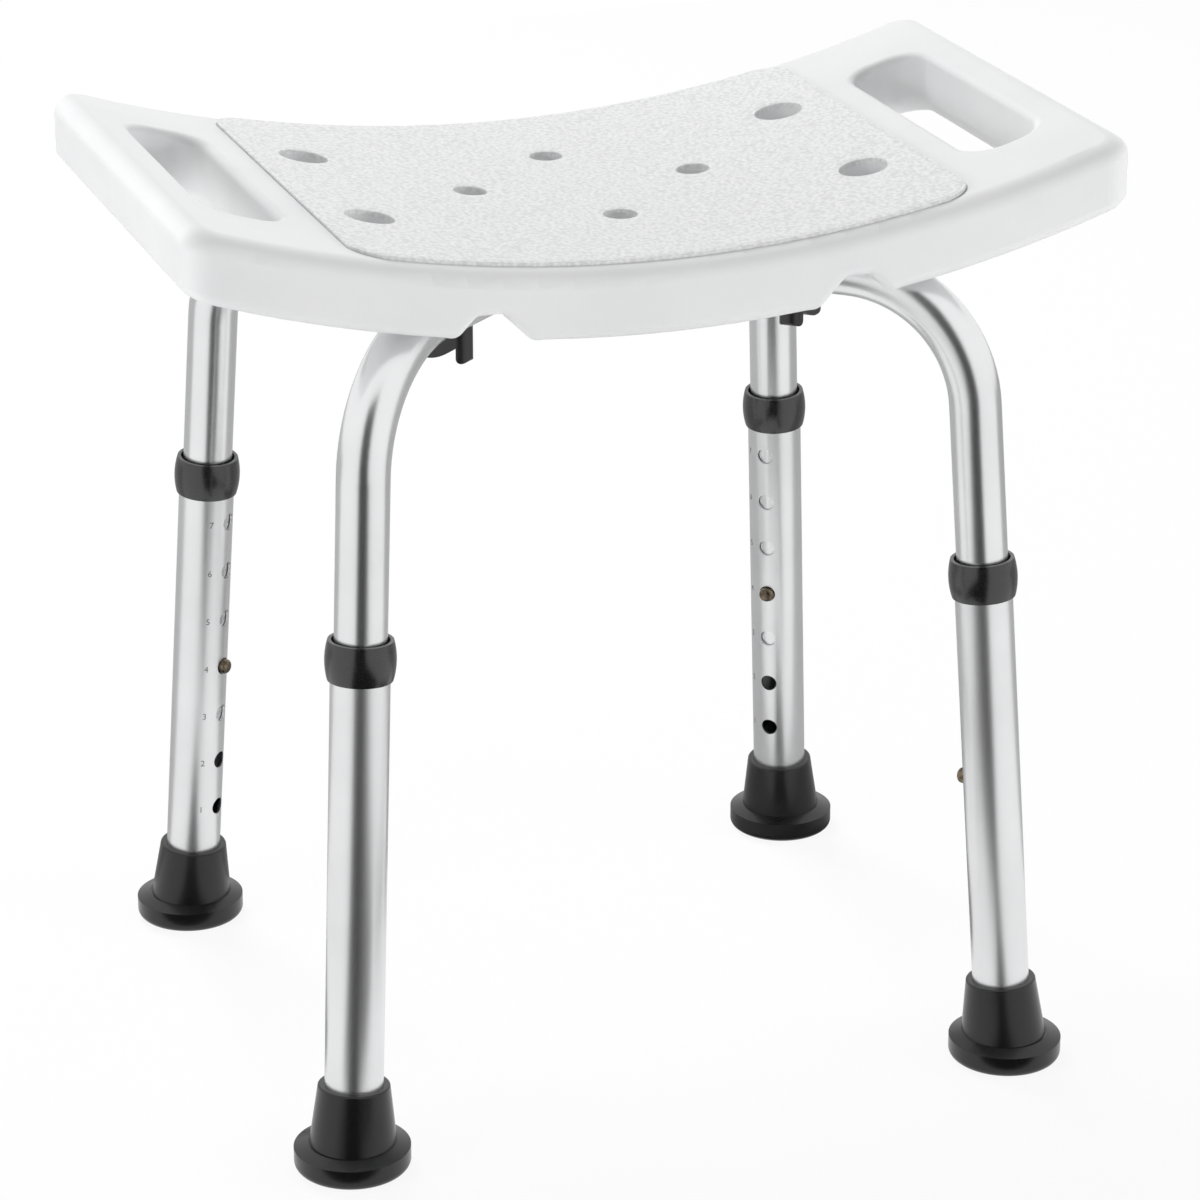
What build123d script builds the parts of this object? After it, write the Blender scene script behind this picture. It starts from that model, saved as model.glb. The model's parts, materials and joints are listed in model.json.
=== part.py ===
import os
from math import atan2, cos, degrees, radians, sin, sqrt

from build123d import *

os.makedirs("parts", exist_ok=True)

# Shower stool, millimetres, +Z up, +X along the seat, +Y to its back.
# The origin is on the floor below the middle of the seat, with every snap button in the middle height hole.

# Seat moulding
SEAT_LENGTH = 470.0
SEAT_WIDTH = 270.0
SEAT_HEIGHT = 432.0
SEAT_DEPTH = 34.5
SEAT_DISH_RADIUS = 700.0
SEAT_CORNER_RADIUS = 16.0
SEAT_TOP_EDGE = 9.0
SEAT_BOTTOM_EDGE = 6.0
SEAT_WALL = 3.0
BLOW_HOLE_RADIUS = 3.5

# Handle openings at both ends of the seat
HANDLE_BAR = 23.5
HANDLE_WIDTH = 38.0
HANDLE_LENGTH = 160.0
HANDLE_CORNER_RADIUS = 16.0
HANDLE_RIM = 4.0
HANDLE_UNDER_RIM = 9.0

# Raised anti-slip panel
PANEL_END_MARGIN = 19.0
PANEL_SIDE_MARGIN = 8.0
PANEL_CORNER_RADIUS = 17.0
PANEL_RISE = 1.8
PANEL_RECESS = 1.0
PANEL_GAP = 0.4
PANEL_EDGE = 0.7

# Drain holes: four large ones in a rectangle, four small ones in a diamond
LARGE_DRAIN_DIAMETER = 24.0
LARGE_DRAIN_MARGIN = 28.5
LARGE_DRAIN_SPACING_Y = 111.0
SMALL_DRAIN_DIAMETER = 16.5
SMALL_DRAIN_SPACING_X = 116.0
SMALL_DRAIN_SPACING_Y = 109.0
DRAIN_RIM = 0.6

# Finger notches in the skirt, in front of each clip
NOTCH_SPACING = 184.0
NOTCH_TOP_WIDTH = 13.0
NOTCH_BOTTOM_WIDTH = 36.0
NOTCH_HEIGHT = 12.0
NOTCH_REACH = 52.0
NOTCH_ROUNDING = 5.0
NOTCH_EDGE = 5.0

# Legs: feet on the floor, leaning in towards the seat
FOOT_SPACING_X = 345.6
FOOT_SPACING_Y = 303.6
LEAN_X = 3.05
LEAN_Y = 3.32

# Upper frame tubes
FRAME_TUBE_DIAMETER = 25.4
FRAME_TUBE_WALL = 1.2
FRAME_RUN_INSET = 7.5
FRAME_BEND_RADIUS = 66.0
FRAME_RUN_END = 29.0
FRAME_TAIL = 42.5
GROOVE_CLEARANCE = 0.25

# Lower leg tubes and their height holes, measured up along the leg from the floor
LEG_TUBE_WALL = 1.3
LEG_TUBE_SLIDE_GAP = 0.3
LEG_TUBE_HEADROOM = 26.5
HOLE_COUNT = 7
HOLE_PITCH = 27.5
FIRST_HOLE_RISE = 25.5
HEIGHT_HOLE_GAP = 0.5
SET_HOLE = 3
HOLE_TURN = 6.0

# Collars on the top ends of the leg tubes
COLLAR_SOCKET = 12.0
COLLAR_HEIGHT = 19.5
COLLAR_END_WALL = 1.35
COLLAR_BULGE = 1.3
COLLAR_SLIDE_GAP = 0.35
COLLAR_SEAT_GAP = 0.05
COLLAR_LEAD_IN = 0.9
COLLAR_LEAD_IN_HEIGHT = 3.0

# Snap buttons and their springs
BUTTON_DIAMETER = 8.0
BUTTON_PROUD = 3.6
BUTTON_HOLE_GAP = 0.3
BUTTON_DOME = 2.6
BUTTON_FLANGE_WIDTH = 1.25
BUTTON_FLANGE_THICKNESS = 1.0
SPRING_THICKNESS = 0.7
SPRING_WIDTH = 8.0
SPRING_ARM = 34.0
SPRING_TAIL = 9.0
SPRING_BEND_RADIUS = 3.5
SPRING_WALL_GAP = 0.2

# Rubber feet and the washers inside them
FOOT_HEIGHT = 42.5
FOOT_RIM_WALL = 3.1
FOOT_CONE_SPREAD = 4.0
FOOT_FLANGE_REACH = 6.9
FOOT_FLANGE_HEIGHT = 11.0
FOOT_SHOULDER_RISE = 2.5
FOOT_FLANGE_ROUNDING = 4.0
FOOT_RIM_ROUNDING = 1.0
FOOT_FLOOR = 9.0
FOOT_BORE_GAP = 0.1
TREAD_GROOVE_DEPTH = 1.5
TREAD_GROOVE_WIDTH = 2.5
TREAD_GROOVE_PITCH = 6.0
TREAD_GROOVE_COUNT = 3
TREAD_FIRST_RADIUS = 8.0
WASHER_THICKNESS = 2.0
WASHER_BORE = 12.0
WASHER_GAP = 0.2

# Clips that turn under the frame tubes
CLIP_DISTANCE = 107.5
CLIP_TUBE_GAP = 0.5
CLIP_OVERHANG = 1.0
CLIP_HUB_WALL = 3.1
CLIP_ARM_DIAMETER = 12.5
CLIP_HUB_DEPTH = 17.0
CLIP_ARM_DEPTH = 11.0
CLIP_TAB_THICKNESS = 5.0
CLIP_TAB_DEPTH = 19.0
CLIP_EDGE = 1.0
CLIP_SWING = 90.0
CLIP_BOSS_WALL = 3.0
CLIP_BOSS_GAP = 0.3
CLIP_BOSS_INSET = 2.05
SHOULDER_STEP = 1.5
SHOULDER_GAP = 0.08
THREAD_DIAMETER = 4.0
THREAD_LENGTH = 12.0
THREAD_GAP = 0.05
SCREW_HEAD_STEP = 2.0
SCREW_HEAD_HEIGHT = 2.8
SCREW_HEAD_GAP = 0.4
SCREW_SLOT_WIDTH = 1.4
SCREW_SLOT_DEPTH = 1.2

# Plugs in the inner ends of the frame tubes
PLUG_FLANGE = 2.0
PLUG_DEPTH = 12.0
PLUG_GAP = 0.1

# Sizes that follow from those above
HANDLE_SPACING = SEAT_LENGTH - HANDLE_WIDTH - 2 * HANDLE_BAR
PANEL_LENGTH = HANDLE_SPACING - HANDLE_WIDTH - 2 * PANEL_END_MARGIN
PANEL_WIDTH = SEAT_WIDTH - 2 * PANEL_SIDE_MARGIN
LARGE_DRAIN_SPACING_X = PANEL_LENGTH - 2 * LARGE_DRAIN_MARGIN
FRAME_RADIUS = FRAME_TUBE_DIAMETER / 2
FRAME_BORE_RADIUS = FRAME_RADIUS - FRAME_TUBE_WALL
FRAME_RUN_HEIGHT = SEAT_HEIGHT - SEAT_DEPTH + FRAME_RUN_INSET
LEG_BORE_RADIUS = FRAME_RADIUS + LEG_TUBE_SLIDE_GAP
LEG_RADIUS = LEG_BORE_RADIUS + LEG_TUBE_WALL
FIRST_HOLE = FOOT_HEIGHT + FIRST_HOLE_RISE
SET_HOLE_HEIGHT = FIRST_HOLE + SET_HOLE * HOLE_PITCH
FRAME_LOWER_END = SET_HOLE_HEIGHT - FRAME_TAIL
LEG_TUBE_BOTTOM = FOOT_FLOOR + WASHER_THICKNESS
LEG_TUBE_TOP = FIRST_HOLE + (HOLE_COUNT - 1) * HOLE_PITCH + LEG_TUBE_HEADROOM
HEIGHT_HOLE_RADIUS = BUTTON_DIAMETER / 2 + HEIGHT_HOLE_GAP
COLLAR_BOTTOM = LEG_TUBE_TOP - COLLAR_SOCKET
COLLAR_TOP = COLLAR_BOTTOM + COLLAR_HEIGHT
COLLAR_SEAT_RADIUS = LEG_RADIUS + COLLAR_SEAT_GAP
COLLAR_BORE_RADIUS = FRAME_RADIUS + COLLAR_SLIDE_GAP
COLLAR_END_RADIUS = COLLAR_SEAT_RADIUS + COLLAR_END_WALL
BUTTON_TIP = LEG_RADIUS + BUTTON_PROUD
BUTTON_FLANGE_RADIUS = BUTTON_DIAMETER / 2 + BUTTON_FLANGE_WIDTH
FOOT_BORE_RADIUS = LEG_RADIUS + FOOT_BORE_GAP
FOOT_RIM_RADIUS = FOOT_BORE_RADIUS + FOOT_RIM_WALL
FOOT_CONE_RADIUS = FOOT_RIM_RADIUS + FOOT_CONE_SPREAD
FOOT_FLANGE_RADIUS = FOOT_CONE_RADIUS + FOOT_FLANGE_REACH
SLOPE_X = sin(radians(LEAN_X)) / cos(radians(LEAN_X))
SLOPE_Y = sin(radians(LEAN_Y)) / cos(radians(LEAN_Y))
CORNER_X = FOOT_SPACING_X / 2 - SLOPE_X * FRAME_RUN_HEIGHT
CORNER_Y = FOOT_SPACING_Y / 2 - SLOPE_Y * FRAME_RUN_HEIGHT
RUN_ANGLE = atan2(CORNER_Y, CORNER_X)
GROOVE_RADIUS = FRAME_RADIUS + GROOVE_CLEARANCE
GROOVE_END = FRAME_RUN_END - PLUG_FLANGE - GROOVE_CLEARANCE
SHOULDER_RADIUS = THREAD_DIAMETER / 2 + SHOULDER_STEP
SCREW_HEAD_RADIUS = SHOULDER_RADIUS + SCREW_HEAD_STEP
CLIP_TOP = FRAME_RUN_HEIGHT - FRAME_RADIUS - CLIP_TUBE_GAP
CLIP_BOSS_RADIUS = SHOULDER_RADIUS + CLIP_BOSS_WALL
CLIP_HUB_RADIUS = SCREW_HEAD_RADIUS + SCREW_HEAD_GAP + CLIP_HUB_WALL
CLIP_PIVOT_OFFSET = GROOVE_RADIUS + CLIP_BOSS_INSET + CLIP_BOSS_RADIUS
CLIP_REACH = CLIP_PIVOT_OFFSET + CLIP_OVERHANG
FAR = 2 * SEAT_LENGTH

CORNERS = {
    "front_left": (-1, -1),
    "front_right": (1, -1),
    "back_left": (-1, 1),
    "back_right": (1, 1),
}


def dish_rise(x):
    """How much higher the dished seat is at x than in its middle."""
    return SEAT_DISH_RADIUS - sqrt(SEAT_DISH_RADIUS**2 - x**2)


def seat_top(x):
    return SEAT_HEIGHT + dish_rise(x)


def seat_bottom(x):
    return seat_top(x) - SEAT_DEPTH


def save(builder, name):
    builder.part.label = name
    export_step(builder.part, f"parts/{name}.step")


def dished_slab(length, width, corner, highest, lowest):
    """A rounded rectangle bounded by the dish moved up to highest and down to lowest, both at the middle."""
    past = length / 2 + corner
    rise = dish_rise(past)
    with BuildPart() as slab:
        with BuildSketch(Plane.XY):
            RectangleRounded(length, width, corner)
        extrude(amount=FAR)
        with BuildSketch(Plane.XZ):
            with BuildLine():
                ThreePointArc((-past, highest + rise), (0, highest), (past, highest + rise))
                Line((past, highest + rise), (past, lowest + rise))
                ThreePointArc((past, lowest + rise), (0, lowest), (-past, lowest + rise))
                Line((-past, lowest + rise), (-past, highest + rise))
            make_face()
        extrude(amount=width, both=True, mode=Mode.INTERSECT)
    return slab.part


def dished_faces(part):
    """The lower and the upper of the two large dished faces."""
    return part.faces().sort_by(SortBy.AREA)[-2:].sort_by(Axis.Z)


def run_direction(sx, sy):
    """Along the horizontal run of a frame tube, towards the middle of the seat."""
    return Vector(-sx * cos(RUN_ANGLE), -sy * sin(RUN_ANGLE), 0)


def side_direction(sx, sy):
    """Level and square to the run, away from the seat's long middle line."""
    return Vector(-sx * sin(RUN_ANGLE), sy * cos(RUN_ANGLE), 0)


def leg_plane(sx, sy):
    """A leg's own frame: origin on the floor, local Z up the leg, local X out of its height holes."""
    turn = RUN_ANGLE + radians(HOLE_TURN)
    return Plane(
        origin=(sx * FOOT_SPACING_X / 2, sy * FOOT_SPACING_Y / 2, 0),
        x_dir=(-sx * cos(turn), -sy * sin(turn), 0),
        z_dir=(-sx * SLOPE_X, -sy * SLOPE_Y, 1),
    )


def profile_plane(leg):
    """The plane of a turned piece's half profile: local X is its radius, local Y its height up the leg."""
    return Plane(origin=leg.origin, x_dir=leg.x_dir, z_dir=-leg.y_dir)


def leg_axis(leg):
    return Axis(leg.origin, leg.z_dir)


def button_plane(leg):
    """The frame of a snap button: origin on the leg's axis, local Z out of the height hole."""
    origin = leg.origin + leg.z_dir * SET_HOLE_HEIGHT
    return Plane(origin=origin, x_dir=leg.z_dir, z_dir=leg.x_dir)


def frame_route(sx, sy, run_end=FRAME_RUN_END):
    """Lower end, bend corner and inner end of a frame tube's centre line."""
    leg = leg_plane(sx, sy)
    corner = Vector(sx * CORNER_X, sy * CORNER_Y, FRAME_RUN_HEIGHT)
    lower = leg.origin + leg.z_dir * FRAME_LOWER_END
    inner = Vector(0, 0, FRAME_RUN_HEIGHT) - run_direction(sx, sy) * run_end
    return lower, corner, inner


def groove_rod(sx, sy, radius, run_end):
    """A solid rod along a frame tube's centre line, as far in as run_end from the middle of the seat."""
    with BuildPart() as rod:
        with BuildLine() as route:
            FilletPolyline(*frame_route(sx, sy, run_end), radius=FRAME_BEND_RADIUS)
        with BuildSketch(Plane(origin=route.line @ 0, z_dir=route.line % 0)):
            Circle(radius)
        sweep()
    return rod.part


def run_slot(sx, sy, radius, run_end):
    """The straight slot below a frame tube's horizontal run, through which it lifts into its groove."""
    inner = frame_route(sx, sy, run_end)[2]
    outward = -run_direction(sx, sy)
    start = Plane(origin=inner, x_dir=Vector(0, 0, 1).cross(outward), z_dir=outward)
    length = CLIP_DISTANCE - run_end + CLIP_PIVOT_OFFSET
    with BuildPart() as slot:
        with BuildSketch(start):
            with Locations((0, -SEAT_DEPTH / 2)):
                Rectangle(2 * radius, SEAT_DEPTH)
        extrude(amount=length)
    return slot.part


def notch_tunnel(sx, sy, grow):
    """A finger notch's arch, run in from the skirt, larger by grow on every side."""
    bottom = seat_bottom(NOTCH_SPACING / 2)
    flank = (NOTCH_BOTTOM_WIDTH - NOTCH_TOP_WIDTH) / 2 / NOTCH_HEIGHT
    below = SEAT_DEPTH / 2
    low_half = NOTCH_BOTTOM_WIDTH / 2 + flank * below + grow
    top_half = NOTCH_TOP_WIDTH / 2 + grow
    mouth = Plane(
        origin=(sx * NOTCH_SPACING / 2, sy * (SEAT_WIDTH / 2 + grow), bottom),
        x_dir=(sy, 0, 0),
        z_dir=(0, -sy, 0),
    )
    with BuildPart() as tunnel:
        with BuildSketch(mouth) as arch:
            with BuildLine():
                Polyline(
                    (-low_half, -below),
                    (low_half, -below),
                    (top_half, NOTCH_HEIGHT + grow),
                    (-top_half, NOTCH_HEIGHT + grow),
                    close=True,
                )
            make_face()
            fillet(arch.vertices().sort_by(Axis.Y)[-2:], NOTCH_ROUNDING)
        extrude(amount=NOTCH_REACH + 2 * grow)
    return tunnel.part


def notch_mouths(part):
    """The edges where the finger notches meet the flat front and back of the skirt."""
    skirts = part.faces().filter_by(Axis.Y).sort_by(SortBy.AREA)[-2:]
    return skirts.edges().filter_by(
        lambda edge: edge.length < NOTCH_BOTTOM_WIDTH
        and abs(abs(edge.center().X) - NOTCH_SPACING / 2) < NOTCH_BOTTOM_WIDTH / 2
    )


def drain_posts(grow):
    """Upright rods at the drain holes, larger in radius by grow."""
    with BuildPart() as posts:
        with BuildSketch(Plane.XY):
            with GridLocations(LARGE_DRAIN_SPACING_X, LARGE_DRAIN_SPACING_Y, 2, 2):
                Circle(LARGE_DRAIN_DIAMETER / 2 + grow)
            with GridLocations(SMALL_DRAIN_SPACING_X, 0, 2, 1):
                Circle(SMALL_DRAIN_DIAMETER / 2 + grow)
            with GridLocations(0, SMALL_DRAIN_SPACING_Y, 1, 2):
                Circle(SMALL_DRAIN_DIAMETER / 2 + grow)
        extrude(amount=FAR)
    return posts.part


def clip_pivot(sx, sy):
    """The point on a clip's upright pivot line at the level of the clip's top face."""
    over_tube = Vector(0, 0, CLIP_TOP) - run_direction(sx, sy) * CLIP_DISTANCE
    return over_tube - side_direction(sx, sy) * CLIP_PIVOT_OFFSET


def seat_cavity():
    """The hollow inside the moulding: its outer form less one wall, clear of every groove and opening."""
    with BuildPart() as cavity:
        add(
            dished_slab(
                SEAT_LENGTH - 2 * SEAT_WALL,
                SEAT_WIDTH - 2 * SEAT_WALL,
                SEAT_CORNER_RADIUS - SEAT_WALL,
                SEAT_HEIGHT - SEAT_WALL - PANEL_RECESS,
                SEAT_HEIGHT - SEAT_DEPTH + SEAT_WALL,
            )
        )
        fillet(dished_faces(cavity.part)[-1].edges(), SEAT_TOP_EDGE - SEAT_WALL)
        with BuildSketch(Plane.XY):
            with GridLocations(HANDLE_SPACING, 0, 2, 1):
                RectangleRounded(
                    HANDLE_WIDTH + 2 * SEAT_WALL + HANDLE_RIM,
                    HANDLE_LENGTH + 2 * SEAT_WALL + HANDLE_RIM,
                    HANDLE_CORNER_RADIUS + SEAT_WALL,
                )
        extrude(amount=FAR, mode=Mode.SUBTRACT)
        add(drain_posts(SEAT_WALL), mode=Mode.SUBTRACT)
        for sx, sy in CORNERS.values():
            groove = GROOVE_RADIUS + SEAT_WALL
            add(groove_rod(sx, sy, groove, GROOVE_END - SEAT_WALL), mode=Mode.SUBTRACT)
            add(run_slot(sx, sy, groove, GROOVE_END - SEAT_WALL), mode=Mode.SUBTRACT)
            add(notch_tunnel(sx, sy, SEAT_WALL), mode=Mode.SUBTRACT)
            with BuildSketch(Plane(origin=clip_pivot(sx, sy))):
                Circle(CLIP_BOSS_RADIUS)
            extrude(amount=FAR, mode=Mode.SUBTRACT)
    return cavity.part


# Seat moulding, hollow, with its grooves for the frame tubes and its clip bosses
with BuildPart() as seat:
    add(
        dished_slab(
            SEAT_LENGTH,
            SEAT_WIDTH,
            SEAT_CORNER_RADIUS,
            SEAT_HEIGHT,
            SEAT_HEIGHT - SEAT_DEPTH,
        )
    )
    fillet(dished_faces(seat.part)[-1].edges(), SEAT_TOP_EDGE)
    for sx, sy in CORNERS.values():
        add(notch_tunnel(sx, sy, 0), mode=Mode.SUBTRACT)
    fillet(notch_mouths(seat.part), NOTCH_EDGE)
    fillet(dished_faces(seat.part)[0].outer_wire().edges(), SEAT_BOTTOM_EDGE)
    with BuildSketch(Plane.XY):
        with GridLocations(HANDLE_SPACING, 0, 2, 1):
            RectangleRounded(HANDLE_WIDTH, HANDLE_LENGTH, HANDLE_CORNER_RADIUS)
    extrude(amount=FAR, mode=Mode.SUBTRACT)
    for dished, rim in zip(dished_faces(seat.part), (HANDLE_UNDER_RIM, HANDLE_RIM)):
        fillet(dished.inner_wires().edges(), rim)
    add(
        dished_slab(
            PANEL_LENGTH + 2 * PANEL_GAP,
            PANEL_WIDTH + 2 * PANEL_GAP,
            PANEL_CORNER_RADIUS + PANEL_GAP,
            SEAT_HEIGHT + SEAT_DEPTH,
            SEAT_HEIGHT - PANEL_RECESS,
        ),
        mode=Mode.SUBTRACT,
    )
    add(drain_posts(0), mode=Mode.SUBTRACT)
    for sx, sy in CORNERS.values():
        add(groove_rod(sx, sy, GROOVE_RADIUS, GROOVE_END), mode=Mode.SUBTRACT)
        add(run_slot(sx, sy, GROOVE_RADIUS, GROOVE_END), mode=Mode.SUBTRACT)
    add(seat_cavity(), mode=Mode.SUBTRACT)
    for sx, sy in CORNERS.values():
        pivot = clip_pivot(sx, sy)
        with BuildSketch(Plane(origin=pivot + Vector(0, 0, CLIP_BOSS_GAP))):
            Circle(CLIP_BOSS_RADIUS)
        extrude(amount=seat_bottom(pivot.X) + SEAT_WALL - CLIP_TOP)
        with BuildSketch(Plane(origin=pivot)):
            Circle(THREAD_DIAMETER / 2 + THREAD_GAP)
        extrude(amount=THREAD_LENGTH + CLIP_BOSS_GAP, mode=Mode.SUBTRACT)
    with BuildSketch(Plane.XY.offset(seat_bottom(0) - SEAT_WALL)):
        Circle(BLOW_HOLE_RADIUS)
    extrude(amount=3 * SEAT_WALL, mode=Mode.SUBTRACT)
save(seat, "seat_moulding")

# Anti-slip panel, seated in its shallow recess
with BuildPart() as panel:
    add(
        dished_slab(
            PANEL_LENGTH,
            PANEL_WIDTH,
            PANEL_CORNER_RADIUS,
            SEAT_HEIGHT + PANEL_RISE,
            SEAT_HEIGHT - PANEL_RECESS,
        )
    )
    fillet(dished_faces(panel.part)[-1].edges(), PANEL_EDGE)
    add(drain_posts(0), mode=Mode.SUBTRACT)
    fillet(dished_faces(panel.part)[-1].inner_wires().edges(), DRAIN_RIM)
save(panel, "anti_slip_panel")

for place, (sx, sy) in CORNERS.items():
    leg = leg_plane(sx, sy)
    profile = profile_plane(leg)
    axis = leg_axis(leg)
    push = button_plane(leg)

    # Upper frame tube: up the leg, round the bend and in along the groove, with the button's hole
    with BuildPart() as frame_tube:
        with BuildLine() as route:
            FilletPolyline(*frame_route(sx, sy), radius=FRAME_BEND_RADIUS)
        with BuildSketch(Plane(origin=route.line @ 0, z_dir=route.line % 0)):
            Circle(FRAME_RADIUS)
            Circle(FRAME_BORE_RADIUS, mode=Mode.SUBTRACT)
        sweep()
        with BuildSketch(push):
            Circle(BUTTON_DIAMETER / 2 + BUTTON_HOLE_GAP)
        extrude(amount=FRAME_TUBE_DIAMETER, mode=Mode.SUBTRACT)
    save(frame_tube, f"frame_tube_{place}")

    # Plug in the frame tube's inner end, its flange against the end of the tube
    tube_mouth = Plane(origin=frame_route(sx, sy)[2], z_dir=-run_direction(sx, sy))
    with BuildPart() as plug:
        with BuildSketch(tube_mouth):
            Circle(FRAME_BORE_RADIUS - PLUG_GAP)
        extrude(amount=PLUG_DEPTH)
        with BuildSketch(tube_mouth):
            Circle(FRAME_RADIUS)
        extrude(amount=-PLUG_FLANGE)
    save(plug, f"tube_plug_{place}")

    # Lower leg tube, standing on the washer in its foot
    with BuildPart() as leg_tube:
        with BuildSketch(leg.offset(LEG_TUBE_BOTTOM)):
            Circle(LEG_RADIUS)
            Circle(LEG_BORE_RADIUS, mode=Mode.SUBTRACT)
        extrude(amount=LEG_TUBE_TOP - LEG_TUBE_BOTTOM)
        for step in range(HOLE_COUNT):
            height = FIRST_HOLE + step * HOLE_PITCH
            centre = leg.origin + leg.z_dir * height
            with BuildSketch(Plane(origin=centre, x_dir=leg.z_dir, z_dir=leg.x_dir)):
                Circle(HEIGHT_HOLE_RADIUS)
            extrude(amount=2 * LEG_RADIUS, mode=Mode.SUBTRACT)
    save(leg_tube, f"leg_tube_{place}")

    # Collar: seated on the leg tube's end, its upper bore guiding the frame tube
    with BuildPart() as collar:
        with BuildSketch(profile):
            with BuildLine():
                Polyline(
                    (COLLAR_END_RADIUS, COLLAR_BOTTOM),
                    (COLLAR_SEAT_RADIUS, COLLAR_BOTTOM),
                    (COLLAR_SEAT_RADIUS, LEG_TUBE_TOP),
                    (COLLAR_BORE_RADIUS, LEG_TUBE_TOP),
                    (COLLAR_BORE_RADIUS, COLLAR_TOP - COLLAR_LEAD_IN_HEIGHT),
                    (COLLAR_BORE_RADIUS + COLLAR_LEAD_IN, COLLAR_TOP),
                    (COLLAR_END_RADIUS, COLLAR_TOP),
                )
                ThreePointArc(
                    (COLLAR_END_RADIUS, COLLAR_TOP),
                    (COLLAR_END_RADIUS + COLLAR_BULGE, COLLAR_BOTTOM + COLLAR_HEIGHT / 2),
                    (COLLAR_END_RADIUS, COLLAR_BOTTOM),
                )
            make_face()
        revolve(axis=axis)
    save(collar, f"leg_collar_{place}")

    # Rubber foot: a level flange on the floor and a cone that leans with the leg
    foot_x = sx * FOOT_SPACING_X / 2
    foot_y = sy * FOOT_SPACING_Y / 2
    upright = Plane(origin=(foot_x, foot_y, 0), x_dir=(1, 0, 0), z_dir=(0, -1, 0))
    cone_base = FOOT_FLANGE_HEIGHT / 2
    with BuildPart() as foot:
        with BuildSketch(upright):
            with BuildLine():
                Polyline(
                    (0, 0),
                    (FOOT_FLANGE_RADIUS, 0),
                    (FOOT_FLANGE_RADIUS, FOOT_FLANGE_HEIGHT),
                    (FOOT_CONE_RADIUS, FOOT_FLANGE_HEIGHT + FOOT_SHOULDER_RISE),
                    (0, FOOT_FLANGE_HEIGHT + FOOT_SHOULDER_RISE),
                    close=True,
                )
            make_face()
        revolve(axis=Axis((foot_x, foot_y, 0), (0, 0, 1)))
        outer_rings = foot.edges().filter_by(GeomType.CIRCLE).group_by(SortBy.RADIUS)[-1]
        fillet(outer_rings.sort_by(Axis.Z)[0], FOOT_FLANGE_ROUNDING)
        with BuildSketch(profile):
            with BuildLine():
                Polyline(
                    (0, cone_base),
                    (FOOT_CONE_RADIUS, cone_base),
                    (FOOT_CONE_RADIUS, FOOT_FLANGE_HEIGHT),
                    (FOOT_RIM_RADIUS, FOOT_HEIGHT),
                    (0, FOOT_HEIGHT),
                    close=True,
                )
            make_face()
        revolve(axis=axis)
        with BuildSketch(leg.offset(FOOT_FLOOR)):
            Circle(FOOT_BORE_RADIUS)
        extrude(amount=FOOT_HEIGHT, mode=Mode.SUBTRACT)
        rim = foot.edges().filter_by(GeomType.CIRCLE).sort_by(Axis.Z)[-1]
        fillet(rim, FOOT_RIM_ROUNDING)
        with BuildSketch(Plane(origin=(foot_x, foot_y, 0))):
            for ring in reversed(range(TREAD_GROOVE_COUNT)):
                inside = TREAD_FIRST_RADIUS + ring * TREAD_GROOVE_PITCH
                Circle(inside + TREAD_GROOVE_WIDTH)
                Circle(inside, mode=Mode.SUBTRACT)
        extrude(amount=TREAD_GROOVE_DEPTH, mode=Mode.SUBTRACT)
    save(foot, f"foot_{place}")

    # Steel washer between the leg tube and the foot's floor
    with BuildPart() as washer:
        with BuildSketch(leg.offset(FOOT_FLOOR)):
            Circle(LEG_RADIUS - WASHER_GAP)
            Circle(WASHER_BORE / 2, mode=Mode.SUBTRACT)
        extrude(amount=WASHER_THICKNESS)
    save(washer, f"foot_washer_{place}")

    # Snap button: a domed stud through the frame tube and the set height hole, on a flange inside
    flange_top = sqrt(FRAME_BORE_RADIUS**2 - BUTTON_FLANGE_RADIUS**2) - SPRING_WALL_GAP
    flange_bottom = flange_top - BUTTON_FLANGE_THICKNESS
    with BuildPart() as button:
        with BuildSketch(push.offset(flange_bottom)):
            Circle(BUTTON_FLANGE_RADIUS)
        extrude(amount=BUTTON_FLANGE_THICKNESS)
        with BuildSketch(push.offset(flange_top)):
            Circle(BUTTON_DIAMETER / 2)
        extrude(amount=BUTTON_TIP - flange_top)
        crown = button.faces().sort_by(Axis(push.origin, push.z_dir))[-1]
        fillet(crown.edges(), BUTTON_DOME)
    save(button, f"snap_button_{place}")

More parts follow.
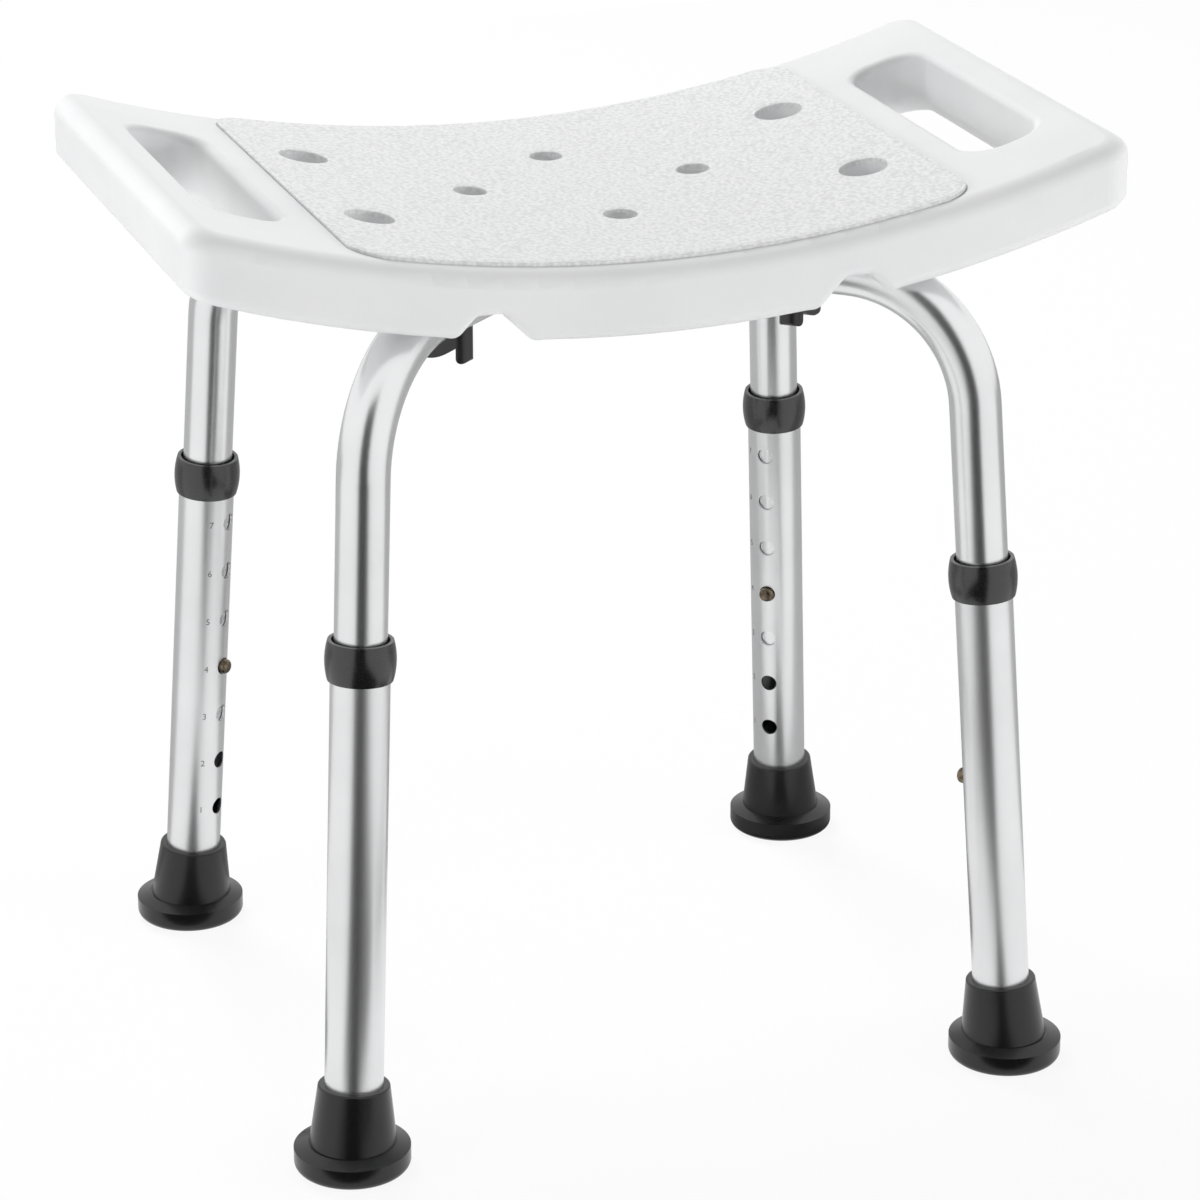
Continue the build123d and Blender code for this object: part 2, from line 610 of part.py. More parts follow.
    # Leaf spring: one strip folded over, its arms on the button and on the far side of the frame tube
    arm_out = flange_bottom
    arm_back = -sqrt(FRAME_BORE_RADIUS**2 - (SPRING_WIDTH / 2) ** 2) + SPRING_WALL_GAP
    fold = SPRING_BEND_RADIUS
    with BuildPart() as spring:
        with BuildSketch(profile):
            with BuildLine():
                Polyline(
                    (arm_out, SET_HOLE_HEIGHT - SPRING_TAIL),
                    (arm_out, SET_HOLE_HEIGHT + SPRING_TAIL),
                    (fold, SET_HOLE_HEIGHT + SPRING_ARM),
                )
                ThreePointArc(
                    (fold, SET_HOLE_HEIGHT + SPRING_ARM),
                    (0, SET_HOLE_HEIGHT + SPRING_ARM + fold),
                    (-fold, SET_HOLE_HEIGHT + SPRING_ARM),
                )
                Polyline(
                    (-fold, SET_HOLE_HEIGHT + SPRING_ARM),
                    (arm_back, SET_HOLE_HEIGHT + SPRING_TAIL),
                    (arm_back, SET_HOLE_HEIGHT - SPRING_TAIL),
                    (arm_back + SPRING_THICKNESS, SET_HOLE_HEIGHT - SPRING_TAIL),
                    (arm_back + SPRING_THICKNESS, SET_HOLE_HEIGHT + SPRING_TAIL),
                    (SPRING_THICKNESS - fold, SET_HOLE_HEIGHT + SPRING_ARM),
                )
                ThreePointArc(
                    (SPRING_THICKNESS - fold, SET_HOLE_HEIGHT + SPRING_ARM),
                    (0, SET_HOLE_HEIGHT + SPRING_ARM + fold - SPRING_THICKNESS),
                    (fold - SPRING_THICKNESS, SET_HOLE_HEIGHT + SPRING_ARM),
                )
                Polyline(
                    (fold - SPRING_THICKNESS, SET_HOLE_HEIGHT + SPRING_ARM),
                    (arm_out - SPRING_THICKNESS, SET_HOLE_HEIGHT + SPRING_TAIL),
                    (arm_out - SPRING_THICKNESS, SET_HOLE_HEIGHT - SPRING_TAIL),
                    (arm_out, SET_HOLE_HEIGHT - SPRING_TAIL),
                )
            make_face()
        extrude(amount=SPRING_WIDTH / 2, both=True)
    save(spring, f"snap_spring_{place}")

    # Clip: a boat-shaped lever on an upright pivot beside the tube, its arm below the tube
    pivot = clip_pivot(sx, sy)
    lever = Plane(origin=pivot, x_dir=side_direction(sx, sy), z_dir=(0, 0, 1))
    side = Plane(origin=pivot, x_dir=side_direction(sx, sy), z_dir=lever.x_dir.cross(Vector(0, 0, 1)))
    arm_radius = CLIP_ARM_DIAMETER / 2
    tab_inside = CLIP_REACH - CLIP_TAB_THICKNESS
    tab_middle = CLIP_REACH - CLIP_TAB_THICKNESS / 2
    tab_straight = CLIP_TAB_DEPTH - CLIP_TAB_THICKNESS / 2
    head_recess = SCREW_HEAD_HEIGHT + 2 * SCREW_HEAD_GAP
    with BuildPart() as clip:
        with BuildSketch(side):
            with BuildLine():
                Polyline(
                    (tab_inside, -CLIP_ARM_DEPTH),
                    (tab_inside, -tab_straight),
                )
                ThreePointArc(
                    (tab_inside, -tab_straight),
                    (tab_middle, -CLIP_TAB_DEPTH),
                    (CLIP_REACH, -tab_straight),
                )
                Polyline(
                    (CLIP_REACH, -tab_straight),
                    (CLIP_REACH, 0),
                    (-CLIP_HUB_RADIUS, 0),
                    (-CLIP_HUB_RADIUS, -CLIP_ARM_DEPTH),
                )
                Spline(
                    (-CLIP_HUB_RADIUS, -CLIP_ARM_DEPTH),
                    (0, -CLIP_HUB_DEPTH),
                    (tab_inside, -CLIP_ARM_DEPTH),
                )
            make_face()
        extrude(amount=CLIP_HUB_RADIUS, both=True)
        with BuildSketch(lever):
            Circle(CLIP_HUB_RADIUS)
            with Locations((CLIP_REACH - arm_radius, 0)):
                Circle(arm_radius)
            make_hull()
        extrude(amount=-FAR, mode=Mode.INTERSECT)
        fillet(clip.edges().group_by(Axis.Z)[-1], CLIP_EDGE)
        with BuildSketch(lever):
            Circle(SHOULDER_RADIUS + SHOULDER_GAP)
        extrude(amount=-CLIP_TAB_DEPTH, mode=Mode.SUBTRACT)
        with BuildSketch(lever.offset(-CLIP_HUB_DEPTH - SCREW_HEAD_GAP)):
            Circle(SCREW_HEAD_RADIUS + SCREW_HEAD_GAP)
        extrude(amount=head_recess, mode=Mode.SUBTRACT)
    save(clip, f"tube_clip_{place}")

    # Shoulder screw that the clip turns on, in the seat's boss
    head_top = CLIP_HUB_DEPTH + SCREW_HEAD_GAP - head_recess + SCREW_HEAD_GAP
    with BuildPart() as screw:
        with BuildSketch(lever.offset(-head_top)):
            Circle(SHOULDER_RADIUS)
        extrude(amount=head_top + CLIP_BOSS_GAP)
        with BuildSketch(lever.offset(CLIP_BOSS_GAP)):
            Circle(THREAD_DIAMETER / 2)
        extrude(amount=THREAD_LENGTH - CLIP_BOSS_GAP)
        with BuildSketch(lever.offset(-head_top)):
            Circle(SCREW_HEAD_RADIUS)
        extrude(amount=-SCREW_HEAD_HEIGHT)
        with BuildSketch(lever.offset(-head_top - SCREW_HEAD_HEIGHT)):
            Rectangle(2 * SCREW_HEAD_RADIUS, SCREW_SLOT_WIDTH)
            Rectangle(SCREW_SLOT_WIDTH, 2 * SCREW_HEAD_RADIUS)
        extrude(amount=SCREW_SLOT_DEPTH, mode=Mode.SUBTRACT)
    save(screw, f"clip_screw_{place}")

# Travels of the moving pieces
stroke = (HOLE_COUNT - 1 - SET_HOLE) * HOLE_PITCH
press = BUTTON_TIP - FRAME_RADIUS + COLLAR_SEAT_GAP
print("leg stroke either way", round(stroke, 3), "button travel", round(press, 3), "clip swing", CLIP_SWING)
print("run angle", round(degrees(RUN_ANGLE), 3), "corner", round(CORNER_X, 3), round(CORNER_Y, 3))
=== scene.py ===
import json
from math import cos, pi, radians, sin, sqrt

import bmesh
import bpy
from mathutils import Matrix, Vector, noise


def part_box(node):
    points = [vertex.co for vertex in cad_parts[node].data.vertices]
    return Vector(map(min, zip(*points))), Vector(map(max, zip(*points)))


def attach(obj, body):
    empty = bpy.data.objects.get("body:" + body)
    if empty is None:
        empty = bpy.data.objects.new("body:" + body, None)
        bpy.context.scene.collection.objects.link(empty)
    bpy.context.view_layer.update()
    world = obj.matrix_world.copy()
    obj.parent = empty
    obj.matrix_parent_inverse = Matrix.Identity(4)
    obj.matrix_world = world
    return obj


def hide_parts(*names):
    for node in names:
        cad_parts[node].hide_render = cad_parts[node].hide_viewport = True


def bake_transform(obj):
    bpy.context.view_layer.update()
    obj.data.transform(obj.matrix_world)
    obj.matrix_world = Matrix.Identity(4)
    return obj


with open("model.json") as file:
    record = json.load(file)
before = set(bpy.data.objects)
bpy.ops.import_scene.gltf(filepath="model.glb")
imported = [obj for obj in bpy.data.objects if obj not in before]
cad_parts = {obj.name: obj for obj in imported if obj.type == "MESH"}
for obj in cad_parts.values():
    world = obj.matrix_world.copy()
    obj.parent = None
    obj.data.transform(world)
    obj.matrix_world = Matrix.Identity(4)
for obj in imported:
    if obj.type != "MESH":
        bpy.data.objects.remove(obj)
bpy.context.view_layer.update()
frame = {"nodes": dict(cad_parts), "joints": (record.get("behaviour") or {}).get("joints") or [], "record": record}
nodes = frame["nodes"]

# Shower stool, in metres, +Z up, +X along the seat, +Y to its back.

DOWN = Vector((0, 0, -1))
PLACES = ("front_left", "front_right", "back_left", "back_right")
JOINTS = {joint["name"]: joint for joint in frame["joints"]}
FLOOR_POINTS = {mount["name"]: Vector(mount["pos_m"]) for mount in frame["record"]["mounts"]}

# Numbers beside the height holes, turned round the tube from them
HOLE_PITCH = 0.0275
SET_NUMBER = 4
LAST_NUMBER = 7
NUMBER_HEIGHT = 0.0048
NUMBER_THICKNESS = 0.0003
NUMBER_PROUD = 0.00006
NUMBER_TURN = radians(46)

# Pebbled skin of the anti-slip panel, which follows the dish of the seat.
# The lift holds it clear of the panel's flat facets, and its edges are sunk into the panel.
DISH_RADIUS = 0.7
GRAIN_PITCH = 0.0013
GRAIN_PEBBLE = 0.0034
GRAIN_LIFT = 0.0001
GRAIN_HEIGHT = 0.00022
GRAIN_SINK = 0.00012
GRAIN_THICKNESS = 0.0004
GRAIN_MARGIN = 0.0012
# Share of its cell at which a pebble ends, and its mean height and the spread of it as shares of the grain's
PEBBLE_EDGE = 0.75
PEBBLE_MEAN = 0.75
PEBBLE_SPREAD = 0.5
# How far from the dish a ray may find the panel, and how far beside the first the second ray starts
GRAIN_STRAY = 0.00008
GRAIN_NUDGE = 0.0002

# Corners closer than this are one
WELD = 0.000001

# Finishes: where in a pattern its gloss begins and ends to change, the scale of the tubes' lines along the
# axes, the shade of the duller aluminium and the blue of the black mouldings, as shares of their colours
GLOSS_FROM = 0.3
GLOSS_TO = 0.7
DRAWN_STRETCH = (1, 1, 0.006)
DRAWN_SHADE = 0.94
BLUE_TINGE = 1.06

# Camera
PHOTO_PIXELS = 1200
FOCAL_PIXELS = 4430.2
SENSOR_WIDTH = 36.0
CAMERA_AZIMUTH = radians(-19.83)
CAMERA_ELEVATION = radians(21.344)
CAMERA_DISTANCE = 2.2546
AIM_HEIGHT = 0.2146
AIM_SIDE = 0.0086

# Studio, with dark and grey cards that only the bright tubes and the mouldings mirror
FLOOR_SIZE = 4.0
FLOOR_WHITE = 0.9
SHADOW_SHARE = 0.1
WORLD_LIGHT = 0.42
LAMP_AIM = Vector((0, 0, 0.42))
CARD_LIFT = 0.002
CARD_DISTANCE = 2.8
DARK_CARD_NEAR = 0.32
DARK_CARD_NEAR_HALF = 0.22
DARK_CARD_HALF = 0.85
DARK_CARD_HEIGHT = 2.6
DARK_CARD_GREY = 0.03
FOOT_CARD_NEAR = 0.034
FOOT_CARD_FAR = 0.2
FOOT_CARD_HALF = 0.035
GREY_CARD_NEAR = 0.12
GREY_CARD_HALF = 3.4
GREY_CARD_GREY = 0.45


def surface(name):
    """A new material, with its shader and its Object coordinates."""
    material = bpy.data.materials.new(name)
    material.use_nodes = True
    shader = material.node_tree.nodes["Principled BSDF"]
    place = material.node_tree.nodes.new("ShaderNodeTexCoord").outputs["Object"]
    return material, shader, place


def stretched(material, place, scale):
    """Object coordinates scaled along each axis, for a pattern with a direction."""
    mapping = material.node_tree.nodes.new("ShaderNodeMapping")
    mapping.inputs["Scale"].default_value = scale
    material.node_tree.links.new(place, mapping.inputs["Vector"])
    return mapping.outputs["Vector"]


def mottle(material, place, size, detail=3.0):
    """Soft noise with lumps of about this size."""
    texture = material.node_tree.nodes.new("ShaderNodeTexNoise")
    texture.inputs["Scale"].default_value = 1 / size
    texture.inputs["Detail"].default_value = detail
    material.node_tree.links.new(place, texture.inputs["Vector"])
    return texture.outputs["Fac"]


def pebbles(material, place, size):
    """Rounded cells of about this size: 0 in the middle of each, rising to its edges."""
    texture = material.node_tree.nodes.new("ShaderNodeTexVoronoi")
    texture.feature = "SMOOTH_F1"
    texture.inputs["Scale"].default_value = 1 / size
    material.node_tree.links.new(place, texture.inputs["Vector"])
    return texture.outputs["Distance"]


def tint(material, shader, pattern, low_colour, high_colour, low=0.35, high=0.65):
    """Colours the shader from low_colour to high_colour along the pattern."""
    ramp = material.node_tree.nodes.new("ShaderNodeValToRGB")
    ramp.color_ramp.elements[0].position = low
    ramp.color_ramp.elements[0].color = (*low_colour, 1)
    ramp.color_ramp.elements[1].position = high
    ramp.color_ramp.elements[1].color = (*high_colour, 1)
    material.node_tree.links.new(pattern, ramp.inputs["Fac"])
    material.node_tree.links.new(ramp.outputs["Color"], shader.inputs["Base Color"])


def gloss(material, shader, pattern, smoothest, roughest):
    """Roughness from smoothest to roughest along the pattern."""
    spread = material.node_tree.nodes.new("ShaderNodeMapRange")
    spread.inputs["From Min"].default_value = GLOSS_FROM
    spread.inputs["From Max"].default_value = GLOSS_TO
    spread.inputs["To Min"].default_value = smoothest
    spread.inputs["To Max"].default_value = roughest
    material.node_tree.links.new(pattern, spread.inputs["Value"])
    material.node_tree.links.new(spread.outputs["Result"], shader.inputs["Roughness"])


def relief(material, shader, pattern, depth, strength=1.0):
    """Fine relief of this depth along the pattern."""
    bump = material.node_tree.nodes.new("ShaderNodeBump")
    bump.inputs["Distance"].default_value = depth
    bump.inputs["Strength"].default_value = strength
    material.node_tree.links.new(pattern, bump.inputs["Height"])
    material.node_tree.links.new(bump.outputs["Normal"], shader.inputs["Normal"])


def seat_plastic():
    """Satin white blow-moulded plastic with a faint orange peel."""
    material, shader, place = surface("seat_plastic")
    cloud = mottle(material, place, size=0.06)
    peel = mottle(material, place, size=0.0018, detail=2.0)
    tint(material, shader, cloud, (0.785, 0.79, 0.795), (0.82, 0.822, 0.825))
    gloss(material, shader, peel, smoothest=0.4, roughest=0.5)
    relief(material, shader, peel, depth=0.00006)
    return material


def panel_plastic():
    """White plastic with a relief of pebbles, with painted shade between them."""
    material, shader, place = surface("panel_plastic")
    cells = pebbles(material, place, size=0.0019)
    # Colour runs from light in the pebbles' middles to dark in the gaps between them: painted shade between the
    # pebbles
    tint(material, shader, cells, (0.85, 0.852, 0.855), (0.71, 0.712, 0.715), low=0.2, high=0.62)
    gloss(material, shader, cells, smoothest=0.5, roughest=0.68)
    relief(material, shader, cells, depth=0.0003, strength=0.6)
    return material


def drawn_aluminium(name, colour, smoothest, roughest):
    """Satin anodised tube with faint lines along its length."""
    material, shader, place = surface(name)
    lines = mottle(material, stretched(material, place, DRAWN_STRETCH), size=0.0006, detail=2.0)
    bloom = mottle(material, place, size=0.05)
    shade = [DRAWN_SHADE * part for part in colour]
    tint(material, shader, bloom, shade, colour)
    gloss(material, shader, lines, smoothest, roughest)
    relief(material, shader, lines, depth=0.0000002)
    shader.inputs["Metallic"].default_value = 1.0
    return material


def dark_moulding(name, deep, pale, grain, smoothest, roughest, depth, shine):
    """Black plastic or rubber with a moulded grain of this size and depth."""
    material, shader, place = surface(name)
    fine = mottle(material, place, grain)
    tint(material, shader, fine, deep, pale)
    gloss(material, shader, fine, smoothest, roughest)
    relief(material, shader, fine, depth)
    shader.inputs["Specular IOR Level"].default_value = shine
    return material


def plated_metal(name, deep, pale, smoothest, roughest):
    """Small metal pieces with a slightly uneven plating."""
    material, shader, place = surface(name)
    stain = mottle(material, place, size=0.004)
    tint(material, shader, stain, deep, pale)
    gloss(material, shader, stain, smoothest, roughest)
    shader.inputs["Metallic"].default_value = 1.0
    return material


def number_ink():
    """Grey printed marks, a little worn."""
    material, shader, place = surface("number_ink")
    wear = mottle(material, place, size=0.0009)
    tint(material, shader, wear, (0.1, 0.1, 0.105), (0.22, 0.22, 0.225))
    gloss(material, shader, wear, smoothest=0.5, roughest=0.7)
    return material


def dress(start, material):
    """Gives the CAD nodes whose names start so their material."""
    for name, node in nodes.items():
        if name.startswith(start):
            node.data.materials.clear()
            node.data.materials.append(material)


def piece(name, bm, material):
    """Turns a bmesh into an object at the origin."""
    mesh = bpy.data.meshes.new(name)
    bm.to_mesh(mesh)
    bm.free()
    mesh.materials.append(material)
    made = bpy.data.objects.new(name, mesh)
    bpy.context.scene.collection.objects.link(made)
    return made


def middle(node):
    """The middle of a CAD node's box."""
    low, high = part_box(node)
    return (low + high) / 2


def number_mesh(digit):
    """One numeral as a thin flat mesh, its middle at the origin."""
    curve = bpy.data.curves.new(f"digit_{digit}", "FONT")
    curve.body = str(digit)
    curve.size = NUMBER_HEIGHT
    curve.extrude = NUMBER_THICKNESS / 2
    curve.align_x = "CENTER"
    curve.align_y = "CENTER"
    text = bpy.data.objects.new(f"digit_{digit}", curve)
    mesh = bpy.data.meshes.new_from_object(text)
    bpy.data.objects.remove(text)
    return mesh


def height_numbers(place, ink):
    """The numbers 1 to 7 up one leg tube, wrapped round it to the left of its height holes."""
    foot = FLOOR_POINTS[f"floor_{place}"]
    up = Vector(JOINTS[f"leg_{place}_height"]["axis"]).normalized()
    out = -Vector(JOINTS[f"button_{place}_press"]["axis"]).normalized()
    side = up.cross(out)
    tube = nodes[f"leg_tube_{place}"].data.vertices
    radius = max((vertex.co - foot).cross(up).length for vertex in tube)
    set_height = (middle(f"snap_button_{place}") - foot).dot(up)
    bm = bmesh.new()
    for digit in range(1, LAST_NUMBER + 1):
        height = set_height + (digit - SET_NUMBER) * HOLE_PITCH
        numeral = bmesh.new()
        numeral.from_mesh(number_mesh(digit))
        for vertex in numeral.verts:
            angle = vertex.co.x / radius - NUMBER_TURN
            reach = radius + NUMBER_PROUD - NUMBER_THICKNESS / 2 + vertex.co.z
            round_tube = out * cos(angle) + side * sin(angle)
            vertex.co = foot + up * (height + vertex.co.y) + round_tube * reach
        wrapped = bpy.data.meshes.new("numeral")
        numeral.to_mesh(wrapped)
        numeral.free()
        bm.from_mesh(wrapped)
        bpy.data.meshes.remove(wrapped)
    bmesh.ops.remove_doubles(bm, verts=bm.verts, dist=WELD)
    bmesh.ops.recalc_face_normals(bm, faces=bm.faces)
    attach(piece(f"height_numbers_{place}", bm, ink), f"leg_{place}")


def leaf_spring(place, steel):
    """The folded spring inside a frame tube, copied from its CAD node, which is then hidden."""
    bm = bmesh.new()
    bm.from_mesh(nodes[f"snap_spring_{place}"].data)
    bmesh.ops.remove_doubles(bm, verts=bm.verts, dist=WELD)
    spring = piece(f"closing_spring_{place}", bm, steel)
    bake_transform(spring)
    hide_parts(f"snap_spring_{place}")


def pebble_rise(x, y):
    """Height of the pebbles above the skin between them."""
    nearest = noise.voronoi(Vector((x, y, 0)) / GRAIN_PEBBLE)[0]
    crown = max(0.0, 1.0 - (nearest[0] / PEBBLE_EDGE) ** 2)
    unevenness = noise.noise(Vector((x, y, 0.5)) / GRAIN_PEBBLE)
    return GRAIN_HEIGHT * crown * (PEBBLE_MEAN + PEBBLE_SPREAD * unevenness)


def on_panel(panel, spot):
    """Whether the panel's top face is at this spot, tried with a second ray beside it."""
    for nudge in (0, GRAIN_NUDGE):
        above = spot + Vector((nudge, nudge, GRAIN_MARGIN))
        hit, found, _, _ = panel.ray_cast(above, DOWN)
        if hit and abs(found.z - spot.z) < GRAIN_STRAY:
            return True
    return False


def panel_grain(plastic):
    """The pebbled skin on the panel's top, open at its drain holes, with its edges sunk into the panel."""
    panel = nodes["anti_slip_panel"]
    low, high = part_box("anti_slip_panel")
    length = high.x - low.x - 2 * GRAIN_MARGIN
    width = high.y - low.y - 2 * GRAIN_MARGIN
    bm = bmesh.new()
    bmesh.ops.create_grid(
        bm,
        x_segments=round(length / GRAIN_PITCH),
        y_segments=round(width / GRAIN_PITCH),
        size=0.5,
        matrix=Matrix.Diagonal((length, width, 1, 1)),
    )
    middle_height = panel.ray_cast(Vector((0, 0, high.z)), DOWN)[1].z
    off_panel = []
    for vertex in bm.verts:
        vertex.co.z = middle_height + DISH_RADIUS - sqrt(DISH_RADIUS**2 - vertex.co.x**2)
        if not on_panel(panel, vertex.co):
            off_panel.append(vertex)
    bmesh.ops.delete(bm, geom=off_panel, context="VERTS")
    for vertex in bm.verts:
        if vertex.is_boundary:
            vertex.co.z -= GRAIN_SINK
        else:
            vertex.co.z += GRAIN_LIFT + pebble_rise(vertex.co.x, vertex.co.y)
    bmesh.ops.solidify(bm, geom=bm.faces[:], thickness=GRAIN_THICKNESS)
    bmesh.ops.recalc_face_normals(bm, faces=bm.faces)
    for face in bm.faces:
        face.smooth = True
    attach(piece("panel_grain", bm, plastic), "seat")


def camera():
    """The photograph's viewpoint."""
    back = Vector(
        (
            sin(CAMERA_AZIMUTH) * cos(CAMERA_ELEVATION),
            -cos(CAMERA_AZIMUTH) * cos(CAMERA_ELEVATION),
            sin(CAMERA_ELEVATION),
        )
    )
    right = Vector((cos(CAMERA_AZIMUTH), sin(CAMERA_AZIMUTH), 0))
    data = bpy.data.cameras.new("camera")
    data.sensor_width = SENSOR_WIDTH
    data.lens = FOCAL_PIXELS / PHOTO_PIXELS * SENSOR_WIDTH
    made = bpy.data.objects.new("camera", data)
    made.location = Vector((0, 0, AIM_HEIGHT)) + right * AIM_SIDE + back * CAMERA_DISTANCE
    made.rotation_euler = (-back).to_track_quat("-Z", "Y").to_euler()
    bpy.context.scene.collection.objects.link(made)
    bpy.context.scene.camera = made


def seen_directly(tree):
    """1 for rays from the camera and those that metal sends on, 0 for the light on matt surfaces."""
    path = tree.nodes.new("ShaderNodeLightPath")
    first = tree.nodes.new("ShaderNodeMath")
    first.operation = "MAXIMUM"
    tree.links.new(path.outputs["Is Camera Ray"], first.inputs[0])
    tree.links.new(path.outputs["Is Glossy Ray"], first.inputs[1])
    both = tree.nodes.new("ShaderNodeMath")
    both.operation = "MAXIMUM"
    tree.links.new(first.outputs["Value"], both.inputs[0])
    tree.links.new(path.outputs["Is Transmission Ray"], both.inputs[1])
    return both.outputs["Value"]


def white_world():
    """Even studio light, white where it is seen."""
    world = bpy.data.worlds.new("studio")
    bpy.context.scene.world = world
    world.use_nodes = True
    tree = world.node_tree
    level = tree.nodes.new("ShaderNodeMapRange")
    level.inputs["To Min"].default_value = WORLD_LIGHT
    level.inputs["To Max"].default_value = 1.0
    tree.links.new(seen_directly(tree), level.inputs["Value"])
    background = tree.nodes["Background"]
    background.inputs["Color"].default_value = (1, 1, 1, 1)
    tree.links.new(level.outputs["Result"], background.inputs["Strength"])


def white_floor():
    """A pale floor that fades to white where it is seen, keeps a soft shadow and is clear from below."""
    bm = bmesh.new()
    bmesh.ops.create_grid(bm, x_segments=1, y_segments=1, size=FLOOR_SIZE / 2)
    mesh = bpy.data.meshes.new("floor")
    bm.to_mesh(mesh)
    bm.free()
    floor = bpy.data.objects.new("floor", mesh)
    bpy.context.scene.collection.objects.link(floor)
    material = bpy.data.materials.new("floor_white")
    material.use_nodes = True
    tree = material.node_tree
    tree.nodes.remove(tree.nodes["Principled BSDF"])
    matt = tree.nodes.new("ShaderNodeBsdfDiffuse")
    matt.inputs["Color"].default_value = (FLOOR_WHITE, FLOOR_WHITE, FLOOR_WHITE, 1)
    glow = tree.nodes.new("ShaderNodeEmission")
    share = tree.nodes.new("ShaderNodeMath")
    share.operation = "MULTIPLY"
    share.inputs[1].default_value = 1 - SHADOW_SHARE
    tree.links.new(seen_directly(tree), share.inputs[0])
    mixed = tree.nodes.new("ShaderNodeMixShader")
    tree.links.new(share.outputs["Value"], mixed.inputs["Fac"])
    tree.links.new(matt.outputs["BSDF"], mixed.inputs[1])
    tree.links.new(glow.outputs["Emission"], mixed.inputs[2])
    side = tree.nodes.new("ShaderNodeNewGeometry")
    clear = tree.nodes.new("ShaderNodeBsdfTransparent")
    one_sided = tree.nodes.new("ShaderNodeMixShader")
    tree.links.new(side.outputs["Backfacing"], one_sided.inputs["Fac"])
    tree.links.new(mixed.outputs["Shader"], one_sided.inputs[1])
    tree.links.new(clear.outputs["BSDF"], one_sided.inputs[2])
    tree.links.new(one_sided.outputs["Shader"], tree.nodes["Material Output"].inputs["Surface"])
    mesh.materials.append(material)


def card(name, corners, grey):
    """A card that only shows as a band along the bright tubes and a dark side on the mouldings."""
    bm = bmesh.new()
    bm.faces.new([bm.verts.new(corner) for corner in corners])
    mesh = bpy.data.meshes.new(name)
    bm.to_mesh(mesh)
    bm.free()
    material = bpy.data.materials.new(name)
    material.use_nodes = True
    shader = material.node_tree.nodes["Principled BSDF"]
    shader.inputs["Base Color"].default_value = (grey, grey, grey, 1)
    shader.inputs["Roughness"].default_value = 1.0
    mesh.materials.append(material)
    made = bpy.data.objects.new(name, mesh)
    made.visible_camera = False
    made.visible_diffuse = False
    made.visible_transmission = False
    made.visible_shadow = False
    bpy.context.scene.collection.objects.link(made)


def floor_card(name, centre, turn, near, near_half, far, far_half, grey):
    """A card on the floor that widens away from this centre, on the side it is turned to."""
    away = Vector((sin(turn), -cos(turn), 0))
    side = Vector((cos(turn), sin(turn), 0))
    near_edge = centre + away * near + Vector((0, 0, CARD_LIFT))
    far_edge = centre + away * far + Vector((0, 0, CARD_LIFT))
    corners = [near_edge - side * near_half, near_edge + side * near_half]
    corners += [far_edge + side * far_half, far_edge - side * far_half]
    card(name, corners, grey)


def wall_card(name, turn, half, height, grey):
    """A card that stands on the floor, facing the stool."""
    away = Vector((sin(turn), -cos(turn), 0)) * CARD_DISTANCE
    side = Vector((cos(turn), sin(turn), 0)) * half
    top = Vector((0, 0, height))
    card(name, [away - side, away + side, away + side + top, away - side + top], grey)


def soft_light(name, spot, size, power):
    """A square soft box at spot, turned to the seat. It lights the stool but isn't mirrored in its tubes."""
    data = bpy.data.lights.new(name, "AREA")
    data.size = size
    data.energy = power
    lamp = bpy.data.objects.new(name, data)
    lamp.location = spot
    lamp.rotation_euler = (LAMP_AIM - Vector(spot)).to_track_quat("-Z", "Y").to_euler()
    lamp.visible_glossy = False
    bpy.context.scene.collection.objects.link(lamp)


def greys(low, high):
    """Two near greys with a faint blue, as the dark mouldings have."""
    return [(level, level, BLUE_TINGE * level) for level in (low, high)]


seat_white = seat_plastic()
panel_white = panel_plastic()
collar_black = dark_moulding(
    "collar_plastic",
    *greys(0.004, 0.006),
    grain=0.0011,
    smoothest=0.22,
    roughest=0.28,
    depth=0.00001,
    shine=0.9,
)
clip_black = dark_moulding(
    "clip_plastic",
    *greys(0.008, 0.012),
    grain=0.0011,
    smoothest=0.3,
    roughest=0.4,
    depth=0.00003,
    shine=0.6,
)
foot_black = dark_moulding(
    "foot_rubber",
    *greys(0.004, 0.006),
    grain=0.0016,
    smoothest=0.24,
    roughest=0.27,
    depth=0.000004,
    shine=0.5,
)
plug_black = dark_moulding(
    "plug_plastic",
    *greys(0.02, 0.03),
    grain=0.0012,
    smoothest=0.45,
    roughest=0.55,
    depth=0.00003,
    shine=0.5,
)
frame_aluminium = drawn_aluminium(
    "frame_aluminium",
    colour=(0.84, 0.845, 0.85),
    smoothest=0.26,
    roughest=0.268,
)
leg_aluminium = drawn_aluminium(
    "leg_aluminium",
    colour=(0.83, 0.835, 0.84),
    smoothest=0.32,
    roughest=0.328,
)
washer_steel = plated_metal(
    "washer_steel",
    deep=(0.5, 0.5, 0.5),
    pale=(0.62, 0.62, 0.61),
    smoothest=0.28,
    roughest=0.42,
)
button_brass = plated_metal(
    "button_metal",
    deep=(0.06, 0.052, 0.04),
    pale=(0.25, 0.2, 0.14),
    smoothest=0.25,
    roughest=0.4,
)
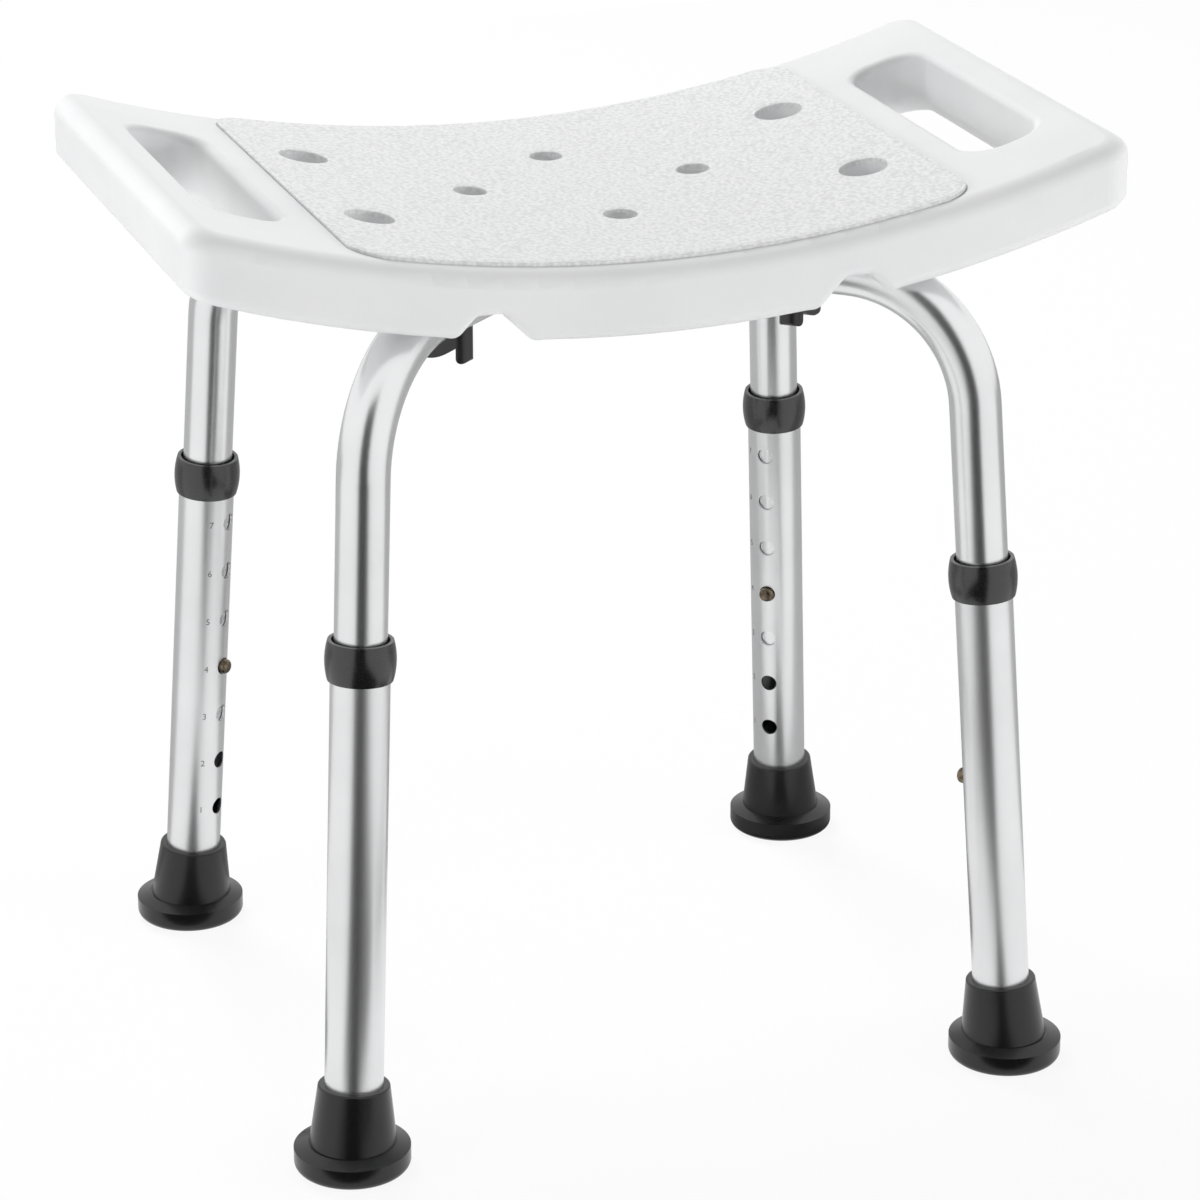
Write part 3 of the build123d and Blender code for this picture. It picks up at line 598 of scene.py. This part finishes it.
spring_steel = plated_metal(
    "spring_steel",
    deep=(0.4, 0.41, 0.43),
    pale=(0.52, 0.52, 0.54),
    smoothest=0.25,
    roughest=0.38,
)
screw_steel = plated_metal(
    "screw_steel",
    deep=(0.55, 0.55, 0.55),
    pale=(0.66, 0.66, 0.65),
    smoothest=0.25,
    roughest=0.4,
)
ink = number_ink()

dress("seat_moulding", seat_white)
dress("anti_slip_panel", panel_white)
dress("frame_tube", frame_aluminium)
dress("leg_tube", leg_aluminium)
dress("leg_collar", collar_black)
dress("tube_clip", clip_black)
dress("tube_plug", plug_black)
# The washers' names start as the feet's do, so their steel comes after the rubber
dress("foot_", foot_black)
dress("foot_washer", washer_steel)
dress("snap_button", button_brass)
dress("snap_spring", spring_steel)
dress("clip_screw", screw_steel)
for place in PLACES:
    height_numbers(place, ink)
    leaf_spring(place, spring_steel)
panel_grain(panel_white)

camera()
white_world()
white_floor()
floor_card(
    "front_card",
    Vector(),
    CAMERA_AZIMUTH,
    near=DARK_CARD_NEAR,
    near_half=DARK_CARD_NEAR_HALF,
    far=CARD_DISTANCE,
    far_half=DARK_CARD_HALF,
    grey=DARK_CARD_GREY,
)
wall_card("front_wall", CAMERA_AZIMUTH, DARK_CARD_HALF, DARK_CARD_HEIGHT, DARK_CARD_GREY)
floor_card(
    "back_card",
    Vector(),
    CAMERA_AZIMUTH + pi,
    near=GREY_CARD_NEAR,
    near_half=GREY_CARD_HALF,
    far=CARD_DISTANCE,
    far_half=GREY_CARD_HALF,
    grey=GREY_CARD_GREY,
)
for place in PLACES:
    floor_card(
        f"foot_card_{place}",
        FLOOR_POINTS[f"floor_{place}"],
        CAMERA_AZIMUTH,
        near=FOOT_CARD_NEAR,
        near_half=FOOT_CARD_HALF,
        far=FOOT_CARD_FAR,
        far_half=FOOT_CARD_HALF,
        grey=DARK_CARD_GREY,
    )
soft_light("key", spot=(-0.3, 2.0, 2.7), size=1.2, power=68)
soft_light("left_fill", spot=(-2.4, -0.6, 0.4), size=1.5, power=34)
soft_light("right_fill", spot=(2.3, -1.7, 0.3), size=1.5, power=54)

bpy.context.scene.view_settings.view_transform = "Standard"
